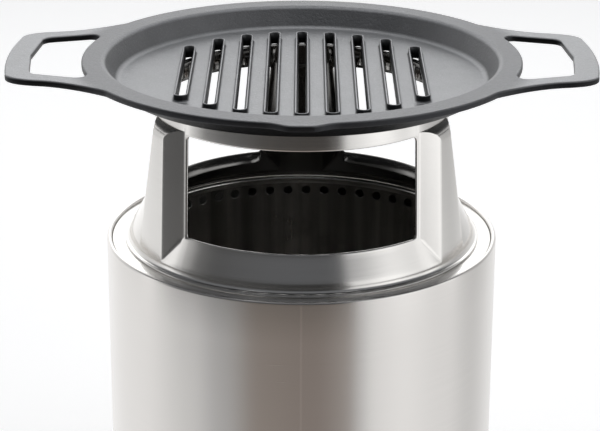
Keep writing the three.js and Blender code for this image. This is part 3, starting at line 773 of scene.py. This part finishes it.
class STOVE_OT_hub(bpy.types.Operator):
    """Pressed hub: foot, three legs, three framed windows, crown and the sills' return flanges"""
    bl_idname = "stove.hub"
    bl_label = "Hub"

    def execute(self, context):
        sizes = context.scene.stove_hub
        shape = HubShape(sizes)
        half = list(range(len(shape.columns)))
        order = [(index, -1.0) for index in half] + [(index, 1.0) for index in half[-2::-1]]
        skin = Shell()
        for third in range(3):
            turn = third * 2.0 * math.pi / 3.0
            rows = [self.plain_row(skin, shape, turn, order, *spot) for spot in shape.foot]
            lip_row = lintel_row = 0
            for z in shape.folded:
                if abs(z - shape.lip) < 1e-6:
                    lip_row = len(rows)
                if abs(z - sizes.lintel) < 1e-6:
                    lintel_row = len(rows)
                rows.append(self.row(skin, turn, [shape.folded_place(i, z, side) for i, side in order]))
            rows += [self.plain_row(skin, shape, turn, order, *spot) for spot in shape.crown]
            last = len(order) - 1
            edge = shape.edge_column
            for i in range(len(rows) - 1):
                for j in range(last):
                    if not (lip_row <= i < lintel_row and edge <= j < last - edge):
                        self.cell(skin, rows[i], rows[i + 1], j, j < last / 2)
            self.flange(skin, shape, rows[lip_row][edge:last - edge + 1], turn, order[edge:last - edge + 1])
        material = satin_steel("hub_steel", tuple(context.scene.stove_colours.hub), 0.15, axis_side_shade=0.85)
        hub = make_object("hub_skin", skin, material, sizes.sheet, sharp=50.0)
        place(hub, "hub", "hub_steel", "hub_shell")
        return {"FINISHED"}

    @staticmethod
    def row(skin, turn, spots):
        """A row of places given as angle, radius and height, turned to one of the hub's thirds."""
        base = HUB_BOX[0][2]
        return skin.ring([(radius * math.sin(angle + turn), -radius * math.cos(angle + turn), base + z)
                          for angle, radius, z in spots])

    def plain_row(self, skin, shape, turn, order, radius, height):
        return self.row(skin, turn, [shape.plain_place(i, radius, height, side) for i, side in order])

    @staticmethod
    def cell(skin, low, high, j, rising):
        """A cell of the grid, split along the line that its fold may follow."""
        a, b, c, d = low[j], low[j + 1], high[j + 1], high[j]
        skin.faces += [(a, b, c), (a, c, d)] if rising else [(a, b, d), (b, c, d)]

    def flange(self, skin, shape, edge, turn, order):
        """The flange that slopes in and down from a window's lower edge, rounded where it leaves it."""
        s = shape.sizes
        bend = ((0.6 * MM, 0.5 * MM), (1.6 * MM, 0.5 * MM), (2.8 * MM, -0.1 * MM))
        steps = (*bend, (s.sill_in, -s.sill_down))
        rows = [edge]
        for inwards, rise in steps:
            spots = []
            for index, side in order:
                angle, radius, z = shape.folded_place(index, shape.lip, side)
                gap = shape.columns[index][1] - shape.hem_edge
                middle = shape.columns[index][2] < 1.0
                reach = 1.0 if middle else ease(-1.0 * MM, 6.0 * MM, gap)
                spots.append((angle, radius - inwards * reach, z + rise * reach))
            rows.append(self.row(skin, turn, spots))
        skin.bridge_all(rows, closed=False)


# ---- Pieces: the grill top ----
def bend_through(*controls, steps):
    """Points along a Bezier curve of two to four controls, without its last one."""
    points = []
    for i in range(steps):
        t = i / steps
        level = list(controls)
        while len(level) > 1:
            level = [(a[0] + (b[0] - a[0]) * t, a[1] + (b[1] - a[1]) * t) for a, b in zip(level, level[1:])]
        points.append(level[0])
    return points


def inset(outline, amount):
    """An outline moved inwards, with its points kept in step. The outline runs anticlockwise."""
    moved = []
    count = len(outline)
    for i, (x, y) in enumerate(outline):
        before = outline[i - 1]
        after = outline[(i + 1) % count]
        dx, dy = after[0] - before[0], after[1] - before[1]
        length = math.hypot(dx, dy)
        moved.append((x - dy / length * amount, y + dx / length * amount))
    return moved


def even(outline, spacing):
    """The same closed outline with its points spaced evenly."""
    lengths = [0.0]
    closed = [*outline, outline[0]]
    for a, b in zip(closed, closed[1:]):
        lengths.append(lengths[-1] + math.dist(a, b))
    count = max(12, round(lengths[-1] / spacing))
    result, segment = [], 0
    for i in range(count):
        target = lengths[-1] * i / count
        while lengths[segment + 1] < target:
            segment += 1
        span = lengths[segment + 1] - lengths[segment]
        share = (target - lengths[segment]) / span
        a, b = closed[segment], closed[segment + 1]
        result.append((a[0] + (b[0] - a[0]) * share, a[1] + (b[1] - a[1]) * share))
    return result


class Casting:
    """Sizes and outlines of the grill top, seen from above."""

    def __init__(self, sizes):
        self.sizes = sizes
        self.radius = -GRILL_BOX[0][1] - sizes.tab_reach
        self.top = GRILL_BOX[1][2]
        self.base = HUB_BOX[1][2] + 0.3 * MM
        self.reach = GRILL_BOX[1][0]
        self.rim_inner = self.radius - sizes.rim
        self.wall_foot = self.rim_inner - sizes.slope
        self.flat = self.wall_foot - sizes.fillet
        self.floor = self.base + sizes.wall

    def outline(self):
        """The whole rim with its grips and front tab, anticlockwise from the right."""
        s = self.sizes
        upper = self.grip_upper()
        right_lower = [(x, -y) for x, y in reversed(upper)]
        left_upper = [(-x, y) for x, y in reversed(upper)]
        left_lower = [(-x, -y) for x, y in upper]
        root = self.root_angle()
        far = arc(0.0, 0.0, self.radius, root, 180.0 - root, 90)[1:-1]
        tab_angle = math.degrees(math.asin(2.0 * s.tab / self.radius))
        near_left = arc(0.0, 0.0, self.radius, 180.0 + root, 270.0 - tab_angle, 36)[1:]
        near_right = arc(0.0, 0.0, self.radius, 270.0 + tab_angle, 360.0 - root, 36)[:-1]
        start, stop = near_left[-1], near_right[0]
        tip = self.radius + s.tab_reach
        neck = s.tab * 1.2
        flat = s.tab * 0.45
        tab = [
            *bend_through(start, (-neck, -self.radius), (-s.tab, -tip), (-flat, -tip), steps=9),
            *bend_through((-flat, -tip), (flat, -tip), steps=4),
            *bend_through((flat, -tip), (s.tab, -tip), (neck, -self.radius), stop, steps=9),
        ]
        points = [*upper, *far, *left_upper, *left_lower, *near_left, *tab[1:], *near_right, *right_lower]
        return even(points, 2.4 * MM)

    def root_angle(self):
        return math.degrees(math.asin((self.sizes.grip_half + self.sizes.grip_flare) / self.radius))

    def grip_upper(self):
        """From the middle of the right grip's end, round its corner to the rim."""
        s = self.sizes
        end = self.reach - s.grip_bow
        flank = (self.reach - 1.6 * s.grip_corner, s.grip_half)
        end_half = s.grip_half - s.grip_corner
        root = math.radians(self.root_angle())
        on_rim = (self.radius * math.cos(root), self.radius * math.sin(root))
        return [
            *bend_through((self.reach, 0.0), (self.reach, end_half / 2.0), (end, end_half), steps=24),
            *bend_through((end, end_half), (end, s.grip_half - s.grip_bow), flank, steps=16),
            *bend_through(flank, (self.radius, s.grip_half + s.grip_bow), on_rim, steps=24),
            on_rim,
        ]

    def finger_hole(self, side):
        """The opening in one grip, anticlockwise."""
        s = self.sizes
        outer = self.reach - s.grip_bow - s.grip_bar
        half = s.grip_half - s.grip_strap
        corner = s.grip_corner / 2.0
        land = self.radius - s.grip_land
        small = s.grip_inner
        inner_y = half + s.grip_spread - small
        inner_x = math.sqrt((land + small) ** 2 - inner_y ** 2)
        lean = math.degrees(math.atan2(inner_y, inner_x))
        upper = [
            *bend_through((outer + s.grip_bow, 0.0), (outer, half - corner), steps=10),
            *arc(outer - corner, half - corner, corner, 8, 78, 9),
            *arc(inner_x, inner_y, small, 78, 180.0 + lean, 12),
            *arc(0.0, 0.0, land, lean, 0.0, 16)[1:],
        ]
        points = upper + [(x, -y) for x, y in reversed(upper[1:-1])]
        points = even(points, 2.4 * MM)
        return points if side > 0 else [(-x, -y) for x, y in points]

    def slots(self):
        """Middle and half length of each slot's collar."""
        s = self.sizes
        field = self.flat - s.margin
        each_side = int((field - s.pitch / 2.0) / s.pitch)
        middles = [i * s.pitch for i in range(-each_side, each_side + 1)]
        return [(x, math.sqrt(field ** 2 - x ** 2)) for x in middles]


def stadium(x, half_length, width):
    """A slot's outline with round ends, anticlockwise."""
    radius = width / 2.0
    straight = half_length - radius
    sides = max(4, round(straight / (4 * MM)))
    right = [(x + radius, -straight + 2.0 * straight * i / sides) for i in range(sides)]
    left = [(x - radius, straight - 2.0 * straight * i / sides) for i in range(sides)]
    return (right + arc(x, straight, radius, 0, 180, 12)[:-1]
            + left + arc(x, -straight, radius, 180, 360, 12)[:-1])


class STOVE_OT_grill_top(bpy.types.Operator):
    """Cast grill top: rim, basin, collared slots, two grips, front tab and locating lugs"""
    bl_idname = "stove.grill_top"
    bl_label = "Grill top"

    def execute(self, context):
        sizes = context.scene.stove_grill
        cast = Casting(sizes)
        shell = Shell()
        outer_top, outer_low = self.edge_band(shell, cast, cast.outline(), 1.0)
        holes = [self.edge_band(shell, cast, cast.finger_hole(side), -1.0) for side in (1, -1)]
        basin_rim, floor_edge, under_rim, under_edge = self.bowl(shell, cast)
        shell.fill(outer_top, [basin_rim, *[top for top, _ in holes]])
        shell.fill(outer_low, [under_rim, *[low for _, low in holes]])
        collars = [self.slot(shell, cast, x, half) for x, half in cast.slots()]
        lug_angles = (-LUG_ANGLE, LUG_ANGLE, 180.0 - LUG_ANGLE, 180.0 + LUG_ANGLE)
        lugs = [self.lug(shell, cast, angle) for angle in lug_angles]
        shell.fill(floor_edge, [top for top, _ in collars])
        shell.fill(under_edge, [low for _, low in collars] + lugs)
        iron = tuple(context.scene.stove_colours.iron)
        material = cast_iron("cast_iron", iron, cast.rim_inner, cast.radius)
        grill = make_object("grill_top_casting", shell, material, sharp=60.0, outward=False)
        place(grill, "grill", "cast_iron", "grill_top")
        return {"FINISHED"}

    @staticmethod
    def edge_band(shell, cast, outline, side):
        """The rounded edge along an outline. Returns its rings on the upper and lower flats."""
        edge = cast.sizes.edge
        low = cast.top - cast.sizes.grip_thick
        rows = [(edge + 0.5 * MM, cast.top)]
        rows += [(edge - dx, z) for dx, z in arc(0.0, cast.top - edge, edge, 90, 0, 5)]
        rows += [(edge - dx, z) for dx, z in arc(0.0, low + edge, edge, 0, -90, 5)]
        rows += [(edge + 0.5 * MM, low)]
        rings = [shell.ring([(x, y, z) for x, y in inset(outline, side * amount)]) for amount, z in rows]
        shell.bridge_all(rings)
        return rings[0], rings[-1]

    @staticmethod
    def bowl(shell, cast):
        """Basin and outer wall. Returns the rings on the rim's top, floor, rim's underside and base."""
        s = cast.sizes
        lip = s.lip
        inner = [(cast.rim_inner + lip + 0.5 * MM, cast.top)]
        inner += arc(cast.rim_inner + lip, cast.top - lip, lip, 90, 150, 9)
        inner += arc(cast.flat, cast.floor + s.fillet, s.fillet, -30, -90, 10)
        inner += [(cast.flat - 0.5 * MM, cast.floor)]
        rings = lathe(shell, inner, 240)
        under = cast.top - s.grip_thick
        corner = cast.wall_foot + s.wall - s.outer_fillet
        neck = cast.rim_inner + s.wall + 6.0 * MM
        outer = [(neck + 0.5 * MM, under)]
        outer += arc(neck, under - 5 * MM, 5 * MM, 90, 135, 6)
        outer += arc(corner, cast.base + s.outer_fillet, s.outer_fillet, -45, -90, 12)
        outer += [(corner - 0.5 * MM, cast.base)]
        lower = lathe(shell, outer, 240)
        return rings[0], rings[-1], lower[0], lower[-1]

    @staticmethod
    def slot(shell, cast, x, half):
        """One slot with its raised collar. Returns the rings on the floor and on the base."""
        s = cast.sizes
        wide = s.slot / 2.0 + s.collar
        crest = cast.floor + s.collar_rise
        foot = 2.4 * MM
        cap = s.collar / 2.0
        throat = s.throat / 2.0
        rows = [(wide + foot + 0.4 * MM, cast.floor)]
        rows += [(wide + foot + dx, z) for dx, z in arc(0.0, cast.floor + foot, foot, 270, 190, 5)]
        rows += [(wide - cap + dx, z) for dx, z in arc(0.0, crest - cap, cap, 15, 150, 8)]
        rows += [(throat + 0.3 * MM, cast.floor + 0.8 * MM), (throat, cast.floor - 0.6 * MM)]
        rows += [(throat + dx, z) for dx, z in arc(0.8 * MM, cast.base + 0.8 * MM, 0.8 * MM, 180, 270, 3)]
        rows += [(throat + 1.2 * MM, cast.base)]
        straight = half - wide
        rings = []
        for reach, z in rows:
            lift = s.collar_end * max(0.0, min(1.0, (z - cast.floor) / s.collar_rise))
            rings.append(shell.ring([
                (px, py, z + lift * ease(straight - 9 * MM, straight + 3 * MM, abs(py)))
                for px, py in stadium(x, straight + reach, 2.0 * reach)]))
        shell.bridge_all(rings)
        return rings[0], rings[-1]

    @staticmethod
    def lug(shell, cast, angle):
        """A small locating lug under the floor, just outside the hub's top. Returns its base ring."""
        turn = math.radians(angle)
        middle = cast.sizes.lug_circle
        across = Vector((math.cos(turn), math.sin(turn)))
        along = Vector((-across.y, across.x))
        rings = []
        for grow, drop in ((0.9 * MM, 0.0), (0.2 * MM, 0.7 * MM), (0.0, 3.2 * MM), (-0.8 * MM, 4.0 * MM)):
            points = []
            for dx, dy in stadium(0.0, 4.0 * MM + grow, 5.0 * MM + 2.0 * grow):
                spot = across * (middle + dx) + along * dy
                points.append((spot.x, spot.y, cast.base - drop))
            rings.append(shell.ring(points))
        shell.bridge_all(rings)
        shell.fill(rings[-1])
        return rings[0]


# ---- The rest: carried-over pieces get their finish ----
class STOVE_OT_inner_finishes(bpy.types.Operator):
    """Finishes of the pieces inside the chamber that keep their own shape"""
    bl_idname = "stove.inner_finishes"
    bl_label = "Inner finishes"

    def execute(self, context):
        colours = context.scene.stove_colours
        dark = bpy.data.materials["chamber_steel"]
        plate = rolled_plate("plate_steel", tuple(colours.plate))
        wire = satin_steel("wire_steel", shade(tuple(colours.ring), 0.85), 0.2, 0.0)
        for name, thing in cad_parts.items():
            if name in ("floor_pan", "grate_ledge"):
                finish = dark
            elif name.endswith("_handle") or "rivet" in name:
                finish = wire
            else:
                finish = plate
            thing.data.materials.clear()
            thing.data.materials.append(finish)
        return {"FINISHED"}


# ---- Floor, light and camera ----
class STOVE_OT_stage(bpy.types.Operator):
    """Pale floor, soft studio light and the camera"""
    bl_idname = "stove.stage"
    bl_label = "Stage"

    def execute(self, context):
        scene = context.scene
        scene.view_settings.view_transform = "Standard"
        self.floor(scene)
        self.studio(scene)
        self.lamp(scene, "back_softbox", (0.0, 1.9, 1.75), (0.0, 0.1, 0.45), 2.4, 1.1, 9.0)
        self.lamp(scene, "top_softbox", (0.0, 0.2, 2.2), (0.0, 0.0, 0.45), 1.6, 1.6, 9.0)
        camera = bpy.data.cameras.new("camera")
        camera.lens = 126.55
        camera.sensor_width = 36.0
        camera.clip_end = 50.0
        viewer = bpy.data.objects.new("camera", camera)
        scene.collection.objects.link(viewer)
        top = BODY_BOX[1][2]
        pitch = math.radians(20.11)
        away = 2.07055
        aim = Vector((-0.0015, 0.0, top + 0.01424))
        viewer.location = aim + Vector((0.0015, -math.cos(pitch) * away, math.sin(pitch) * away))
        viewer.rotation_euler = (aim - viewer.location).to_track_quat("-Z", "Y").to_euler()
        viewer.rotation_euler.rotate_axis("Z", math.radians(0.189))
        scene.camera = viewer
        return {"FINISHED"}

    @staticmethod
    def floor(scene):
        shell = Shell()
        lathe(shell, [(16.0, 0.0), (2.0, 0.0), (0.3, 0.0), (0.02, 0.0)], 64)
        shell.faces.append(tuple(range(3 * 64, 4 * 64)))
        material = bpy.data.materials.new("floor_paper")
        s = Shading(material)
        fibre = s.noise(s.position(), 60.0, 4.0, 0.6)
        s.surface(Base_Color=s.blend(fibre, (0.90, 0.90, 0.905), (0.93, 0.93, 0.93)), Roughness=0.8,
                  Emission_Color=(0.95, 0.95, 0.95, 1.0), Emission_Strength=0.5)
        floor = make_object("floor", shell, material, outward=False)
        floor.visible_glossy = False
        floor.visible_diffuse = False

    @staticmethod
    def studio(scene):
        """A bright room with a darker opening on the camera's side, which steel shows as a dark band."""
        world = bpy.data.worlds.new("studio")
        scene.world = world
        s = Shading(world)
        direction = s.node("ShaderNodeTexCoord", output=0)
        x, y, z = s.parts(direction)
        turn = x.math("ARCTAN2", x, y * -1.0) / (2.0 * math.pi) + 0.5

        def around_room(stops):
            places = [(0.5 + angle / 360.0, value) for angle, value in stops]
            return s.node("ShaderNodeValToRGB", {"stops": places}, {"Fac": turn})

        warm = (0.256, 0.22, 0.19)
        floor = around_room([
            (-180, 1.1), (-120, 1.05), (-92, 1.0), (-68, 0.92), (-48, 0.68), (-25, (0.44, 0.39, 0.36)),
            (8, (0.37, 0.32, 0.30)), (28, (0.45, 0.41, 0.39)), (37, 0.72), (43, 0.95), (62, 1.0),
            (95, 0.92), (120, 0.78), (150, 0.95), (180, 1.1)])
        low = around_room([
            (-180, 1.1), (-120, 1.03), (-92, 0.94), (-68, 0.77), (-48, 0.47), (-25, warm), (8, warm),
            (28, (0.37, 0.33, 0.30)), (35, 0.55), (43, 0.90), (62, 1.0), (95, 0.9), (120, 0.74),
            (150, 0.95), (180, 1.1)])
        high = around_room([
            (-180, 1.5), (-150, 1.15), (-120, 0.74), (-106, 0.80), (-96, 1.25), (-86, 0.50), (-76, 0.15),
            (-60, 0.08), (18, 0.04), (27, 0.10), (35, 0.95), (62, 1.30), (84, 1.0), (94, 1.25),
            (106, 0.62), (120, 0.50), (150, 0.80), (180, 1.5)])
        room = s.blend(z.band(-0.50, -0.37), floor, s.blend(z.band(-0.30, -0.16), low, high))
        room = s.blend(z.band(0.40, 0.62), room, (0.16, 0.165, 0.175))
        light = s.node("ShaderNodeBackground", inputs={"Color": room, "Strength": 1.0})
        paper = s.node("ShaderNodeBackground", inputs={"Color": (0.98, 0.98, 0.98, 1.0), "Strength": 1.0})
        seen = s.node("ShaderNodeLightPath")
        mixed = s.tree.nodes.new("ShaderNodeMixShader")
        for socket, term in zip(mixed.inputs, (seen, light, paper)):
            s.tree.links.new(term.socket, socket)
        s.node("ShaderNodeOutputWorld", inputs={"Surface": Term(s.tree, mixed.outputs[0])})

    @staticmethod
    def lamp(scene, name, spot, aim, width, depth, power):
        light = bpy.data.lights.new(name, "AREA")
        light.shape = "RECTANGLE"
        light.size = width
        light.size_y = depth
        light.energy = power
        lamp = bpy.data.objects.new(name, light)
        lamp.location = spot
        lamp.rotation_euler = (Vector(aim) - Vector(spot)).to_track_quat("-Z", "Y").to_euler()
        scene.collection.objects.link(lamp)


class STOVE_PT_panel(bpy.types.Panel):
    """Lists the stove's pieces"""
    bl_idname = "STOVE_PT_panel"
    bl_label = "Camping stove"
    bl_space_type = "VIEW_3D"
    bl_region_type = "UI"
    bl_category = "Stove"

    def draw(self, context):
        for group in ("stove_body", "stove_hub", "stove_grill", "stove_colours"):
            settings = getattr(context.scene, group)
            box = self.layout.box()
            for name in settings.__annotations__:
                box.prop(settings, name)
        for operator in OPERATORS:
            self.layout.operator(operator.bl_idname)


GROUPS = {
    "stove_body": StoveBodySizes,
    "stove_hub": StoveHubSizes,
    "stove_grill": StoveGrillSizes,
    "stove_colours": StoveColours,
}
OPERATORS = (
    STOVE_OT_outer_wall,
    STOVE_OT_inner_wall,
    STOVE_OT_flame_ring,
    STOVE_OT_hub,
    STOVE_OT_grill_top,
    STOVE_OT_inner_finishes,
    STOVE_OT_stage,
)
CLASSES = (*GROUPS.values(), *OPERATORS, STOVE_PT_panel)


def register():
    for cls in CLASSES:
        bpy.utils.register_class(cls)
    for name, group in GROUPS.items():
        setattr(bpy.types.Scene, name, PointerProperty(type=group))


def unregister():
    for name in GROUPS:
        delattr(bpy.types.Scene, name)
    for cls in reversed(CLASSES):
        bpy.utils.unregister_class(cls)


def main():
    register()
    for operator in OPERATORS:
        family, name = operator.bl_idname.split(".")
        getattr(getattr(bpy.ops, family), name)()


if __name__ == "__main__":
    main()
